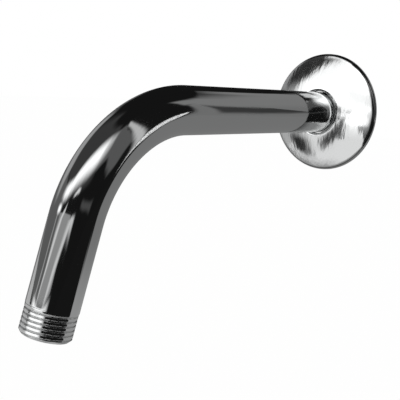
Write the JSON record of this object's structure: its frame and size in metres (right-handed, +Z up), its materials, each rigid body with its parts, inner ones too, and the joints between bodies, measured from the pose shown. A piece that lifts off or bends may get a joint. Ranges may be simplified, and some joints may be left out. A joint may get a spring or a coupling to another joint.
{
  "type": "shower arm",
  "caption": "Chrome shower arm: a pipe that leaves the wall level, bends down and ends in a male thread, with a loose domed wall flange that slides along it.",
  "frame": {"origin": "on the arm's axis, in the plane of the wall's face", "axes": "+Y into the wall along the wall thread, -Y out of the wall, +Z up"},
  "size_m": [0.062, 0.2024, 0.1203],
  "materials": {
    "plated_pipe": "polished chrome plate on pipe, mirror bright",
    "plated_sheet": "polished chrome plate on pressed sheet, faint polishing streaks"
  },
  "bodies": {
    "arm": {"arm": "plated_pipe"},
    "flange": {"wall_flange": "plated_sheet"}
  },
  "joints": [
    {"name": "flange_slide", "type": "slide", "parent": "arm", "child": "flange", "axis": [0, -1, 0], "range_m": [0, 0.1]}
  ]
}
